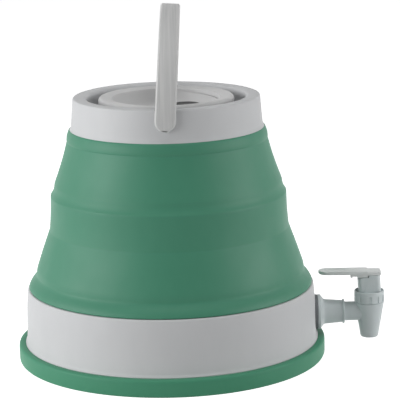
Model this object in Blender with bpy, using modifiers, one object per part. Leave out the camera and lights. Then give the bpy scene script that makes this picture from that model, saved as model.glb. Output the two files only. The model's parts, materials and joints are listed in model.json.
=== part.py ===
# A collapsible water carrier: silicone bucket with a plastic base band, collar, screw lid, bail and tap.
# Metres, +Z up. The origin is on the carrier's axis, on the floor that it stands on.
# Turned pieces are (radius, height) outlines that a Screw modifier spins about Z.

import math

import bmesh
import bpy
from mathutils import Matrix

# General
gap = 0.0003
running_gap = 0.0001
overrun = 0.002
merge_distance = 0.00001
ring_steps = 40
tap_steps = 24
arc_steps = 2
bow_steps = 3
long_bow_steps = 4
smooth_below_degrees = 40
bevel_above_degrees = 60

# Foot, the soft disc under the base
foot_height = 0.015
foot_floor = 0.0027
foot_rim = 0.0062
foot_top_round = 0.0035
foot_bottom_round = 0.001

# Base shell, the plastic pan whose wall shows as the pale band
band_radius = 0.122
band_top = 0.062
band_taper = 0.0026
band_flare = 0.0014
band_flare_height = 0.005
band_wall = 0.0025
base_floor = 0.0025
flare_bow_power = 1.7

# Silicone wall, from the band up to the collar
wall_thickness = 0.0025
fold_thickness = 0.0015
skirt_depth = 0.008
skirt_thickness = 0.0022
shoulder_rise = 0.0137
shoulder_inset = 0.0063
lower_fold_rise = 0.0376
lower_fold_bulge = 0.0004
middle_radius = 0.102
middle_rise = 0.0374
middle_foot_inset = 0.001
middle_foot_rise = 0.005
middle_taper = 0.001
middle_shoulder_rise = 0.009
middle_shoulder_inset = 0.0028
upper_fold_rise = 0.0376
upper_fold_sag = 0.0007
lip_radius = 0.0825
lip_rise = 0.012
lip_inset = 0.0028
lip_thickness = 0.001
shoulder_bow_power = 1.7

# Collar, the plastic ring that the bail and the lid sit in
collar_rise = 0.026
collar_taper = 0.002
collar_wall = 0.0025
collar_foot_gap = 0.0006
collar_edge_round = 0.0008
rim_width = 0.0121
groove_depth = 0.014
groove_floor = 0.0025
groove_edge_round = 0.0019

# Neck ring, which the lid screws onto
neck_thread_clearance = 0.0007
neck_wall = 0.0028
neck_below_rim = 0.004
neck_flange_thickness = 0.0022
neck_flange_margin = 0.0012

# Lid with its dish, its seal and its vent plug
groove_width = 0.0096
lid_peak_above_rim = 0.001
lid_ring_width = 0.0115
lid_peak_in = 0.004
lid_outer_drop = 0.0045
lid_inner_drop = 0.0018
lid_lip_height = 0.0027
lid_ledge = 0.0014
lid_dish_depth = 0.0145
lid_floor = 0.0025
lid_dish_slope = 0.0095
dish_bow_power = 0.6
lid_skirt_wall = 0.0032
lid_skirt_clearance = 0.0013
lid_wall = 0.0027
seal_thickness = 0.0017
seal_margin = 0.0003
vent_from_dish_edge = 0.0181
vent_knob_radius = 0.0115
vent_knob_height = 0.0067
vent_stem_radius = 0.0055
vent_stem_below = 0.002
vent_knob_round = 0.0012

# Bail
bail_pivot_below_rim = 0.0095
bail_width = 0.0165
bail_top_width = 0.0156
bail_thickness = 0.0032
bail_edge = 0.0007
bail_straight = 0.001
bail_lean_degrees = 3.6
bail_boss_radius = 0.0053
bail_boss_height = 0.0019
bail_clearance = 0.0006
stub_radius = 0.004
stub_head_radius = 0.0052
stub_head_thickness = 0.0013
clip_radius = 0.007
clip_thickness = 0.0016
bail_arc_rows = 20
bail_tip_rows = 4
bail_tip_flat_degrees = 15

# Tap, its place on the band and its seals
tap_height = 0.0335
tap_seat_recess = 0.0002
tap_seat_margin = 0.0015
tap_boss_depth = 0.0032
tap_boss_margin = 0.0015
tap_gasket_radius = 0.015
tap_gasket_thickness = 0.0038
tap_flange_thickness = 0.0015
tap_flange_cone = 0.0027
shank_radius = 0.0094
inner_gasket_radius = 0.014
inner_gasket_thickness = 0.0022
back_nut_radius = 0.0155
back_nut_thickness = 0.0067
back_nut_sides = 6

# Tap body
tap_reach = 0.0484
barrel_radius = 0.01035
barrel_end_radius = 0.0095
barrel_length = 0.0165
barrel_rib_radius = 0.0106
barrel_rib_length = 0.0015
tube_radius = 0.00825
inlet_radius = 0.0055
spout_top_radius = 0.0121
spout_end_radius = 0.0069
spout_top_above = 0.0083
spout_end_below = 0.0239
spout_round = 0.0015
spout_thread_radius = 0.0108
spout_thread_length = 0.0061
outlet_radius = 0.0044
chamber_radius = 0.0066
seat_below = 0.0097

# Tap neck, nut, stem and lever
bonnet_nut_radius = 0.013
bonnet_nut_lip = 0.0018
bonnet_nut_round = 0.0015
bonnet_rib_depth = 0.0006
bonnet_rib_share = 0.55
bonnet_groove_share = 0.4
bonnet_rib_count = 12
neck_tube_radius = 0.0097
neck_top_radius = 0.0101
neck_flange_radius = 0.0107
neck_flange_height = 0.0017
neck_spigot_radius = 0.0063
neck_spigot_length = 0.0043
neck_bore_radius = 0.0049
neck_rise = 0.0131
neck_ceiling = 0.0032
neck_back_rise = 0.0034
neck_back_from_axis = 0.0009
stem_radius = 0.0022
stem_hole_clearance = 0.0003
stem_flange_radius = 0.0042
stem_flange_thickness = 0.001
stem_flange_above_cup = 0.0037
stem_below_plate = 0.0006
cup_radius = 0.0061
cup_height = 0.0055
cup_socket_depth = 0.0027
cup_dome = 0.0012
spring_radius = 0.0036
spring_wire_radius = 0.0004
spring_turns = 5
spring_points_per_turn = 8

# Lever, a rocker on a cross pin
lever_pivot_in = 0.0051
lever_pivot_above_neck = 0.004
lever_pin_radius = 0.0009
lever_pin_inset = 0.0003
lever_pin_steps = 16
lever_tip_from_pivot = 0.0387
lever_width = 0.016
lever_thickness = 0.0029
lever_top_above_pivot = 0.00315
lever_edge_round = 0.0006
lever_tip_steps = 12
cheek_front = 0.0116
cheek_back = 0.0036
cheek_width = 0.0152
cheek_thickness = 0.0027
cheek_below_pivot = 0.0023
plate_back = 0.0149
plate_width = 0.0142
plate_drop = 0.00085
ear_half_length = 0.0018
ear_top_round = 0.0017
ear_pocket_clearance = 0.001
ear_pocket_top = 0.0003

# Places that follow from the sizes
base_bottom = foot_floor + gap
base_floor_top = base_bottom + base_floor
flare_radius = band_radius + band_taper + band_flare
foot_bore = flare_radius + gap
foot_radius = foot_bore + foot_rim
shoulder_top = band_top + shoulder_rise
lower_crease_radius = band_radius - shoulder_inset
lower_fold_top = shoulder_top + lower_fold_rise
middle_top = lower_fold_top + middle_rise
upper_crease_radius = middle_radius - middle_foot_inset - middle_taper - middle_shoulder_inset
upper_fold_top = middle_top + upper_fold_rise
upper_step_radius = lip_radius + lip_inset
lip_top = upper_fold_top + lip_rise
collar_lower_radius = lip_radius - lip_thickness - gap
collar_top_radius = collar_lower_radius - collar_taper
rim_top = lip_top + collar_rise
groove_outer_radius = collar_top_radius - rim_width
groove_bottom = rim_top - groove_depth
neck_top = rim_top - neck_below_rim
lid_radius = groove_outer_radius - groove_width
lid_peak = rim_top + lid_peak_above_rim
dish_radius = lid_radius - lid_ring_width
dish_floor_radius = dish_radius - lid_ledge - lid_dish_slope
vent_offset = dish_floor_radius - vent_from_dish_edge
neck_radius = lid_radius - lid_skirt_wall - neck_thread_clearance
seal_bottom = neck_top + gap
lid_underside = seal_bottom + seal_thickness + gap
dish_floor_top = lid_peak - lid_dish_depth
pivot_height = rim_top - bail_pivot_below_rim


def band_radius_at(height):
    # The band's outer radius between its flare and its top edge
    flare_top = foot_height + band_flare_height
    return band_radius + band_taper * (band_top - height) / (band_top - flare_top)


tap_seat = band_radius_at(tap_height + tap_gasket_radius) - tap_seat_recess
tap_axis = tap_seat + tap_reach
spout_top = tap_height + spout_top_above
thread_top = spout_top + spout_thread_length
seat_top = tap_height - seat_below
neck_flange_top = thread_top + gap + neck_flange_height
bonnet_nut_top = neck_flange_top + gap + bonnet_nut_lip
neck_top_plane = neck_flange_top + neck_rise
neck_back_top = neck_top_plane + neck_back_rise
pivot_x = tap_axis - lever_pivot_in
pivot_z = neck_top_plane + lever_pivot_above_neck
plate_bottom = neck_back_top + gap


def clear_scene():
    for obj in list(bpy.data.objects):
        bpy.data.objects.remove(obj)


def new_collection(name):
    collection = bpy.data.collections.new(name)
    bpy.context.scene.collection.children.link(collection)
    return collection


def make_material(name, colour, roughness):
    material = bpy.data.materials.new(name)
    material.use_nodes = True
    shader = material.node_tree.nodes["Principled BSDF"]
    shader.inputs["Base Color"].default_value = (*colour, 1)
    shader.inputs["Roughness"].default_value = roughness
    shader.inputs["Metallic"].default_value = 0
    return material


def silicone_green():
    return make_material("silicone_green", (0.08, 0.25, 0.16), 0.55)


def foot_green():
    return make_material("foot_green", (0.09, 0.29, 0.19), 0.6)


def pale_plastic():
    return make_material("pale_plastic", (0.52, 0.54, 0.54), 0.45)


def lid_plastic():
    return make_material("lid_plastic", (0.48, 0.49, 0.49), 0.45)


def bail_plastic():
    return make_material("bail_plastic", (0.43, 0.43, 0.43), 0.4)


def tap_plastic():
    return make_material("tap_plastic", (0.33, 0.37, 0.38), 0.4)


def dark_rubber():
    return make_material("dark_rubber", (0.03, 0.03, 0.03), 0.7)


def gasket_rubber():
    return make_material("gasket_rubber", (0.1, 0.11, 0.11), 0.7)


def spring_steel():
    material = make_material("spring_steel", (0.6, 0.6, 0.6), 0.3)
    material.node_tree.nodes["Principled BSDF"].inputs["Metallic"].default_value = 1
    return material


def add_mesh_object(name, mesh, collection, material):
    obj = bpy.data.objects.new(name, mesh)
    collection.objects.link(obj)
    if material:
        mesh.materials.append(material)
    return obj


def turned(name, outline, collection, material=None, steps=ring_steps):
    # An outline that starts and ends on the axis makes a solid, any other is closed into a ring
    mesh = bpy.data.meshes.new(name)
    points = [(radius, 0, height) for radius, height in outline]
    edges = [(i, i + 1) for i in range(len(points) - 1)]
    if outline[0][0] > 0:
        edges.append((len(points) - 1, 0))
    mesh.from_pydata(points, edges, [])
    obj = add_mesh_object(name, mesh, collection, material)
    screw = obj.modifiers.new("Screw", "SCREW")
    screw.angle = math.tau
    screw.steps = steps
    screw.render_steps = steps
    screw.use_merge_vertices = True
    screw.merge_threshold = merge_distance
    screw.use_smooth_shade = True
    return obj


def rod(name, radius, start, end, axis, collection, material=None, steps=tap_steps):
    # A cylinder between two places along an axis, with the other two coordinates at zero
    mesh = bpy.data.meshes.new(name)
    work = bmesh.new()
    bmesh.ops.create_cone(
        work, cap_ends=True, segments=steps, radius1=radius, radius2=radius, depth=end - start
    )
    work.to_mesh(mesh)
    work.free()
    mesh.shade_smooth()
    mesh.set_sharp_from_angle(angle=math.radians(smooth_below_degrees))
    obj = add_mesh_object(name, mesh, collection, material)
    middle = (start + end) / 2
    if axis == "X":
        obj.rotation_euler = (0, math.radians(90), 0)
        obj.location = (middle, 0, 0)
    elif axis == "Y":
        obj.rotation_euler = (math.radians(90), 0, 0)
        obj.location = (0, middle, 0)
    else:
        obj.location = (0, 0, middle)
    return obj


def block(name, low, high, collection, material=None):
    mesh = bpy.data.meshes.new(name)
    work = bmesh.new()
    bmesh.ops.create_cube(work, size=1)
    size = [b - a for a, b in zip(low, high)]
    bmesh.ops.scale(work, vec=size, verts=work.verts)
    work.to_mesh(mesh)
    work.free()
    obj = add_mesh_object(name, mesh, collection, material)
    obj.location = [(a + b) / 2 for a, b in zip(low, high)]
    return obj


def combine(obj, other, operation):
    # The other object is a helper: it shapes this one and isn't part of the carrier
    other.hide_render = True
    other.display_type = "WIRE"
    modifier = obj.modifiers.new(operation.title(), "BOOLEAN")
    modifier.operation = operation
    modifier.object = other
    modifier.solver = "EXACT"


def round_edges(obj, width):
    bevel = obj.modifiers.new("Bevel", "BEVEL")
    bevel.width = width
    bevel.segments = 1
    bevel.limit_method = "ANGLE"
    bevel.angle_limit = math.radians(bevel_above_degrees)


def quarter_round(centre_radius, centre_height, size, start_degrees, end_degrees):
    # Points on an arc, with the angle measured from straight out towards up
    points = []
    for i in range(arc_steps + 1):
        angle = math.radians(start_degrees + (end_degrees - start_degrees) * i / arc_steps)
        points.append((centre_radius + size * math.cos(angle), centre_height + size * math.sin(angle)))
    return points


def bowed(start, end, power, steps):
    # Points from start to end whose radius changes as a power of the rise
    points = []
    for i in range(steps + 1):
        share = i / steps
        radius = start[0] + (end[0] - start[0]) * share**power
        points.append((radius, start[1] + (end[1] - start[1]) * share))
    return points


def shell_outline(outer, thickness):
    # The outer line runs upwards; the wall's inner line keeps the thickness from it
    inner = [(radius - thickness, height) for radius, height in outer]
    return list(reversed(outer)) + inner


def make_foot(parts):
    outline = [(0, foot_floor), (foot_bore, foot_floor), (foot_bore, foot_height)]
    outline += quarter_round(
        foot_radius - foot_top_round, foot_height - foot_top_round, foot_top_round, 90, 0
    )
    outline += [(foot_radius, foot_bottom_round), (foot_radius - foot_bottom_round, 0), (0, 0)]
    return turned("foot", outline, parts, foot_green())


def make_base_shell(parts, tools):
    flare_top = foot_height + band_flare_height
    flare_foot = (flare_radius, foot_height)
    flare = bowed((band_radius + band_taper, flare_top), flare_foot, flare_bow_power, bow_steps)
    outline = [
        (0, base_floor_top),
        (flare_radius - band_wall, base_floor_top),
        (band_radius + band_taper - band_wall, foot_height),
        (band_radius + band_taper - band_wall, flare_top),
        (band_radius - band_wall, band_top),
        (band_radius, band_top),
    ]
    outline += flare + [(flare_radius, base_bottom), (0, base_bottom)]
    shell = turned("base_shell", outline, parts, pale_plastic())
    seat_radius = tap_gasket_radius + tap_seat_margin
    boss_radius = seat_radius + tap_boss_margin
    boss_start = tap_seat - tap_boss_depth
    boss = rod("tap_boss", boss_radius, boss_start, tap_seat - running_gap, "X", tools)
    face = rod("tap_face_cut", seat_radius, tap_seat, flare_radius + overrun, "X", tools)
    hole_start = boss_start - overrun
    hole = rod("tap_hole_cut", shank_radius + gap, hole_start, tap_seat + overrun, "X", tools)
    for helper, operation in ((boss, "UNION"), (face, "DIFFERENCE"), (hole, "DIFFERENCE")):
        helper.location.z = tap_height
        combine(shell, helper, operation)
    return shell


def make_lower_shoulder(parts):
    # The silicone starts as a skirt inside the band and turns out over the band's top edge
    ledge = band_top + gap
    outer_end = (lower_crease_radius, shoulder_top)
    outer = bowed((band_radius, ledge), outer_end, shoulder_bow_power, long_bow_steps)
    skirt_outer = band_radius - band_wall - gap
    skirt_inner = skirt_outer - skirt_thickness
    skirt_bottom = band_top - skirt_depth
    outline = list(reversed(outer))
    outline += [(skirt_outer, ledge), (skirt_outer, skirt_bottom), (skirt_inner, skirt_bottom)]
    inner_start = (skirt_inner, ledge)
    inner_end = (lower_crease_radius - wall_thickness, shoulder_top)
    outline += bowed(inner_start, inner_end, shoulder_bow_power, bow_steps)
    return turned("wall_lower_shoulder", outline, parts, silicone_green())


def make_lower_fold(parts):
    bottom = shoulder_top + gap
    top = lower_fold_top
    middle = (bottom + top) / 2
    half = (lower_crease_radius + middle_radius) / 2
    outer = [(lower_crease_radius, bottom), (half + lower_fold_bulge, middle), (middle_radius, top)]
    return turned("wall_lower_fold", shell_outline(outer, fold_thickness), parts, silicone_green())


def make_middle_band(parts):
    bottom = lower_fold_top + gap
    waist = middle_radius - middle_foot_inset
    shoulder_foot = middle_top - middle_shoulder_rise
    outer = [(middle_radius, bottom), (waist, bottom + middle_foot_rise)]
    bow_start = (waist - middle_taper, shoulder_foot)
    bow_end = (upper_crease_radius, middle_top)
    outer += bowed(bow_start, bow_end, shoulder_bow_power, bow_steps)
    outline = shell_outline(outer, wall_thickness)
    return turned("wall_middle_band", outline, parts, silicone_green())


def make_upper_fold(parts):
    bottom = middle_top + gap
    top = upper_fold_top
    middle = (bottom + top) / 2
    half = (upper_crease_radius + upper_step_radius) / 2
    outer = [(upper_crease_radius, bottom), (half - upper_fold_sag, middle), (upper_step_radius, top)]
    return turned("wall_upper_fold", shell_outline(outer, fold_thickness), parts, silicone_green())


def make_upper_band(parts):
    bottom = upper_fold_top + gap
    inner = collar_lower_radius + gap
    outline = [(lip_radius, lip_top), (upper_step_radius, bottom), (inner, bottom), (inner, lip_top)]
    return turned("wall_upper_band", outline, parts, silicone_green())


def make_collar(parts, tools):
    foot = upper_fold_top + collar_foot_gap
    knee = lip_top - gap
    roof = rim_top - collar_wall
    hanging_wall = groove_outer_radius + collar_wall
    floor_edge = neck_radius + gap
    outline = quarter_round(
        collar_top_radius - collar_edge_round, rim_top - collar_edge_round, collar_edge_round, 90, 0
    )
    outline += [(collar_lower_radius, knee), (collar_lower_radius, foot)]
    outline += [(collar_lower_radius - collar_wall, foot), (collar_lower_radius - collar_wall, knee)]
    outline += [(collar_top_radius - collar_wall, roof), (hanging_wall, roof)]
    outline += [(hanging_wall, groove_bottom - groove_floor), (floor_edge, groove_bottom - groove_floor)]
    outline += [(floor_edge, groove_bottom), (groove_outer_radius, groove_bottom)]
    outline += quarter_round(
        groove_outer_radius + groove_edge_round, rim_top - groove_edge_round, groove_edge_round, 180, 90
    )
    collar = turned("collar", outline, parts, pale_plastic())
    boss_start = collar_top_radius - collar_wall / 2
    boss_end = boss_face()
    hole_start = collar_top_radius - collar_wall - overrun
    for side, name in ((-1, "front"), (1, "rear")):
        near, far = sorted((side * boss_start, side * boss_end))
        boss = rod(f"bail_boss_{name}", bail_boss_radius, near, far, "Y", tools)
        near, far = sorted((side * hole_start, side * (boss_end + overrun)))
        hole = rod(f"bail_hole_{name}", stub_radius + gap, near, far, "Y", tools)
        for helper, operation in ((boss, "UNION"), (hole, "DIFFERENCE")):
            helper.location.z = pivot_height
            combine(collar, helper, operation)
    return collar


def boss_face():
    # How far from the axis the bosses' flat faces stand, which the bail's ends lie against
    return collar_top_radius + bail_boss_height


def make_neck_ring(parts):
    top = neck_top
    under = groove_bottom - groove_floor - gap
    bottom = under - neck_flange_thickness
    flange = groove_outer_radius - neck_flange_margin
    bore = neck_radius - neck_wall
    outline = [(bore, top), (neck_radius, top), (neck_radius, under), (flange, under)]
    outline += [(flange, bottom), (bore, bottom)]
    return turned("neck_ring", outline, parts, lid_plastic())


def make_lid_cap(parts, tools):
    outer_edge = lid_peak - lid_outer_drop
    inner_edge = lid_peak - lid_inner_drop
    peak_radius = lid_radius - lid_peak_in
    skirt_bore = lid_radius - lid_skirt_wall
    skirt_bottom = groove_bottom + lid_skirt_clearance
    crease = inner_edge - lid_lip_height
    dish_edge = dish_radius - lid_ledge
    floor_edge = dish_floor_radius
    floor_under = dish_floor_top - lid_floor
    outline = [(0, dish_floor_top)]
    dish_end = (dish_edge, crease - lid_ledge / 2)
    outline += bowed((floor_edge, dish_floor_top), dish_end, dish_bow_power, long_bow_steps)
    outline += [(dish_radius, crease), (dish_radius, inner_edge)]
    outline += ring_crown(peak_radius, inner_edge, outer_edge)
    outline += [(lid_radius, outer_edge), (lid_radius, skirt_bottom), (skirt_bore, skirt_bottom)]
    outline += [(skirt_bore, lid_underside), (dish_radius + lid_wall, lid_underside)]
    outline += [(dish_radius + lid_wall, crease), (dish_edge + lid_wall, crease - lid_ledge)]
    outline += [(floor_edge + lid_wall, floor_under), (0, floor_under)]
    lid = turned("lid_cap", outline, parts, lid_plastic())
    hole = rod(
        "vent_hole_cut",
        vent_stem_radius + gap,
        floor_under - overrun,
        dish_floor_top + overrun,
        "Z",
        tools,
    )
    hole.location.x = vent_offset
    combine(lid, hole, "DIFFERENCE")
    return lid


def ring_crown(peak_radius, inner_edge, outer_edge):
    # The lid ring's domed top, a gentle rise from the dish and a tighter fall to the outside
    points = []
    for i in range(1, arc_steps + 1):
        angle = math.radians(90 * i / arc_steps)
        radius = peak_radius - (peak_radius - dish_radius) * math.cos(angle)
        points.append((radius, inner_edge + (lid_peak - inner_edge) * math.sin(angle)))
    for i in range(1, arc_steps):
        angle = math.radians(90 * i / arc_steps)
        radius = peak_radius + (lid_radius - peak_radius) * math.sin(angle)
        points.append((radius, outer_edge + (lid_peak - outer_edge) * math.cos(angle)))
    return points


def make_lid_gasket(parts):
    inner = neck_radius - neck_wall
    outer = neck_radius + seal_margin
    bottom = seal_bottom
    top = seal_bottom + seal_thickness
    outline = [(inner, top), (outer, top), (outer, bottom), (inner, bottom)]
    return turned("lid_gasket", outline, parts, gasket_rubber())


def make_vent_plug(parts):
    knob_bottom = dish_floor_top + gap
    knob_top = knob_bottom + vent_knob_height
    stem_bottom = dish_floor_top - lid_floor - vent_stem_below
    outline = [(0, knob_top)]
    outline += quarter_round(
        vent_knob_radius - vent_knob_round, knob_top - vent_knob_round, vent_knob_round, 90, 0
    )
    outline += [(vent_knob_radius, knob_bottom), (vent_stem_radius, knob_bottom)]
    outline += [(vent_stem_radius, stem_bottom), (0, stem_bottom)]
    plug = turned("vent_plug", outline, parts, dark_rubber(), tap_steps)
    plug.location.x = vent_offset
    return plug


def bail_rows(radius):
    # Places along the strip from its front tip over the top to its rear tip, with the half width there
    half = bail_width / 2
    top_half = bail_top_width / 2
    rows = []
    for i in range(bail_tip_rows):
        angle = math.radians(bail_tip_flat_degrees + (90 - bail_tip_flat_degrees) * i / bail_tip_rows)
        rows.append((-radius, -half * math.cos(angle), half * math.sin(angle)))
    rows.append((-radius, 0, half))
    for i in range(bail_arc_rows + 1):
        angle = math.pi * i / bail_arc_rows
        width = half + (top_half - half) * math.sin(angle)
        height = bail_straight + radius * math.sin(angle)
        rows.append((-radius * math.cos(angle), height, width))
    rows.append((radius, 0, half))
    rows += [(radius, height, width) for _, height, width in reversed(rows[:bail_tip_rows])]
    return rows


def make_handle(parts, tools):
    # The bail's mesh has its pivot axis through its own origin, and its empty leans it
    pivot = bpy.data.objects.new("bail_pivot", None)
    parts.objects.link(pivot)
    pivot.location = (0, 0, pivot_height)
    pivot.rotation_euler = (0, math.radians(bail_lean_degrees), 0)
    inner_face = boss_face() + bail_clearance
    mesh = bpy.data.meshes.new("handle")
    work = bmesh.new()
    rails = []
    for y, z, half in bail_rows(inner_face + bail_thickness / 2):
        rails.append((work.verts.new((-half, y, z)), work.verts.new((half, y, z))))
    for (a, b), (c, d) in zip(rails, rails[1:]):
        work.faces.new((a, b, d, c))
    bmesh.ops.recalc_face_normals(work, faces=work.faces)
    work.to_mesh(mesh)
    work.free()
    mesh.shade_smooth()
    handle = add_mesh_object("handle", mesh, parts, bail_plastic())
    handle.parent = pivot
    solid = handle.modifiers.new("Solidify", "SOLIDIFY")
    solid.thickness = bail_thickness
    solid.offset = 0
    solid.use_even_offset = True
    round_edges(handle, bail_edge)
    head_far = clip_far_face() - gap
    head_near = head_far - stub_head_thickness
    for side, name in ((-1, "front"), (1, "rear")):
        shapes = (
            (f"stub_{name}", stub_radius, head_near + running_gap, inner_face + bail_thickness / 2),
            (f"stub_head_{name}", stub_head_radius, head_near, head_far),
        )
        for label, radius, near, far in shapes:
            low, high = sorted((side * near, side * far))
            shape = rod(label, radius, low, high, "Y", tools)
            shape.parent = pivot
            combine(handle, shape, "UNION")
    return handle


def clip_far_face():
    # The clips' inward faces: each flat clip clears the curved, faceted wall behind it
    wall_face = (collar_top_radius - collar_wall) * math.cos(math.pi / ring_steps)
    return math.sqrt(wall_face**2 - clip_radius**2) - gap - clip_thickness


def make_clips(parts):
    clips = []
    near = clip_far_face()
    far = near + clip_thickness
    bore = stub_radius + gap
    for side, name in ((-1, "front"), (1, "rear")):
        outline = [(bore, far), (clip_radius, far), (clip_radius, near), (bore, near)]
        clip = turned(f"pivot_clip_{name}", outline, parts, pale_plastic(), tap_steps)
        clip.rotation_euler = (math.radians(-90 * side), 0, 0)
        clip.location = (0, 0, pivot_height)
        clips.append(clip)
    return clips


def washer(name, bore, radius, start, thickness, parts, material):
    # A flat ring on the tap's axis, spun about X
    outline = [(bore, start + thickness), (radius, start + thickness), (radius, start), (bore, start)]
    ring = turned(name, outline, parts, material, tap_steps)
    ring.rotation_euler = (0, math.radians(90), 0)
    ring.location.z = tap_height
    return ring


def make_tap_gaskets(parts):
    bore = shank_radius + gap
    outer_start = tap_seat + gap
    outer = washer(
        "tap_outer_gasket",
        bore,
        tap_gasket_radius,
        outer_start,
        tap_gasket_thickness,
        parts,
        gasket_rubber(),
    )
    inner_start = tap_seat - tap_boss_depth - gap - inner_gasket_thickness
    inner = washer(
        "tap_inner_gasket",
        bore,
        inner_gasket_radius,
        inner_start,
        inner_gasket_thickness,
        parts,
        gasket_rubber(),
    )
    return outer, inner


def back_nut_end():
    return tap_seat - tap_boss_depth - gap - inner_gasket_thickness - gap


def make_back_nut(parts, tools):
    end = back_nut_end()
    start = end - back_nut_thickness
    nut = rod("tap_back_nut", back_nut_radius, start, end, "X", parts, tap_plastic(), back_nut_sides)
    nut.location.z = tap_height
    bore = rod("back_nut_cut", shank_radius + gap, start - overrun, end + overrun, "X", tools)
    bore.location.z = tap_height
    combine(nut, bore, "DIFFERENCE")
    return nut


def barrel_outline():
    # The pipe from inside the tank to the spout's axis, outside line only, from the far end back
    flange_back = tap_seat + gap + tap_gasket_thickness + gap
    flange_front = flange_back + tap_flange_thickness
    barrel_start = flange_front + tap_flange_cone
    barrel_end = barrel_start + barrel_length
    rib_end = barrel_end + barrel_rib_length
    return [
        (0, tap_axis),
        (tube_radius, tap_axis),
        (tube_radius, rib_end),
        (barrel_rib_radius, rib_end),
        (barrel_rib_radius, barrel_end),
        (barrel_end_radius, barrel_end),
        (barrel_radius, barrel_start),
        (tap_gasket_radius, flange_front),
        (tap_gasket_radius, flange_back),
        (shank_radius, flange_back),
        (shank_radius, back_nut_end() - back_nut_thickness),
        (0, back_nut_end() - back_nut_thickness),
    ]


def make_tap_body(parts, tools):
    end = tap_height - spout_end_below
    spout = [(0, thread_top), (spout_thread_radius, thread_top), (spout_thread_radius, spout_top)]
    spout += [(spout_top_radius, spout_top), (spout_end_radius, end + spout_round)]
    spout += [(spout_end_radius - spout_round, end), (0, end)]
    body = turned("tap_body", spout, parts, tap_plastic(), tap_steps)
    body.location.x = tap_axis
    pipe = turned("tap_pipe", barrel_outline(), tools, None, tap_steps)
    pipe.rotation_euler = (0, math.radians(90), 0)
    pipe.location.z = tap_height
    combine(body, pipe, "UNION")
    chamber = [(0, thread_top + overrun), (chamber_radius, thread_top + overrun)]
    chamber += [(chamber_radius, seat_top), (outlet_radius, seat_top)]
    chamber += [(outlet_radius, end - overrun), (0, end - overrun)]
    hollow = turned("tap_chamber_cut", chamber, tools, None, tap_steps)
    hollow.location.x = tap_axis
    combine(body, hollow, "DIFFERENCE")
    shank_end = back_nut_end() - back_nut_thickness
    inlet = rod("tap_inlet_cut", inlet_radius, shank_end - overrun, tap_axis, "X", tools)
    inlet.location.z = tap_height
    combine(body, inlet, "DIFFERENCE")
    return body


def grip_cutter(tools, bottom, top):
    # One cutter with a block for each groove between the nut's grip ribs
    mesh = bpy.data.meshes.new("bonnet_groove_cut")
    work = bmesh.new()
    inner = bonnet_nut_radius - bonnet_rib_depth
    width = math.tau * bonnet_nut_radius / bonnet_rib_count * bonnet_groove_share
    size = (overrun, width, top - bottom + overrun)
    for i in range(bonnet_rib_count):
        turn = math.tau * (i + 0.5) / bonnet_rib_count
        place = Matrix.Rotation(turn, 4, "Z") @ Matrix.Translation(
            (inner + overrun / 2, 0, (bottom + top - overrun) / 2)
        )
        bmesh.ops.create_cube(work, size=1, matrix=place @ Matrix.Diagonal((*size, 1)))
    work.to_mesh(mesh)
    work.free()
    cutter = add_mesh_object("bonnet_groove_cut", mesh, tools, None)
    cutter.location.x = tap_axis
    return cutter


def make_bonnet_nut(parts, tools):
    bottom = spout_top + gap
    bore = spout_thread_radius + gap
    collar_bore = neck_tube_radius + gap
    lip = bonnet_nut_top - bonnet_nut_lip
    groove_top = bottom + (bonnet_nut_top - bottom) * bonnet_rib_share
    outline = [(collar_bore, bonnet_nut_top)]
    outline += quarter_round(
        bonnet_nut_radius - bonnet_nut_round, bonnet_nut_top - bonnet_nut_round, bonnet_nut_round, 90, 0
    )
    outline += [(bonnet_nut_radius, bottom), (bore, bottom), (bore, lip), (collar_bore, lip)]
    nut = turned("tap_bonnet_nut", outline, parts, tap_plastic(), tap_steps)
    nut.location.x = tap_axis
    combine(nut, grip_cutter(tools, bottom, groove_top), "DIFFERENCE")
    return nut


def make_tap_neck(parts, tools):
    flange_bottom = neck_flange_top - neck_flange_height
    spigot_bottom = flange_bottom - neck_spigot_length
    outline = [(0, neck_back_top), (neck_top_radius, neck_back_top)]
    outline += [(neck_tube_radius, neck_flange_top), (neck_flange_radius, neck_flange_top)]
    outline += [(neck_flange_radius, flange_bottom), (neck_spigot_radius, flange_bottom)]
    outline += [(neck_spigot_radius, spigot_bottom), (0, spigot_bottom)]
    neck = turned("tap_neck", outline, parts, tap_plastic(), tap_steps)
    neck.location.x = tap_axis
    ceiling = neck_top_plane - neck_ceiling
    hole = stem_radius + stem_hole_clearance
    hollow = [(0, neck_back_top + overrun), (hole, neck_back_top + overrun), (hole, ceiling)]
    hollow += [(neck_bore_radius, ceiling), (neck_bore_radius, spigot_bottom - overrun)]
    hollow += [(0, spigot_bottom - overrun)]
    bore = turned("neck_bore_cut", hollow, tools, None, tap_steps)
    bore.location.x = tap_axis
    reach = neck_top_radius + overrun
    step = block(
        "neck_step_cut",
        (tap_axis - reach, -reach, neck_top_plane),
        (tap_axis - neck_back_from_axis, reach, neck_back_top + overrun),
        tools,
    )
    ear_half_width = cheek_width / 2 - cheek_thickness - gap
    ear = block(
        "lever_ear",
        (pivot_x - ear_half_length, -ear_half_width, neck_top_plane - neck_ceiling / 2),
        (pivot_x + ear_half_length, ear_half_width, pivot_z),
        tools,
    )
    ear_top = rod("lever_ear_top", ear_top_round, -ear_half_width, ear_half_width, "Y", tools)
    pin_hole = rod("ear_pin_cut", lever_pin_radius + running_gap, -reach, reach, "Y", tools)
    for helper in (ear_top, pin_hole):
        helper.location.x = pivot_x
        helper.location.z = pivot_z
    combine(neck, step, "DIFFERENCE")
    combine(neck, ear, "UNION")
    combine(neck, ear_top, "UNION")
    combine(neck, bore, "DIFFERENCE")
    combine(neck, pin_hole, "DIFFERENCE")
    return neck


def cup_bottom():
    return seat_top + gap


def cup_top():
    return cup_bottom() + cup_height


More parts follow.
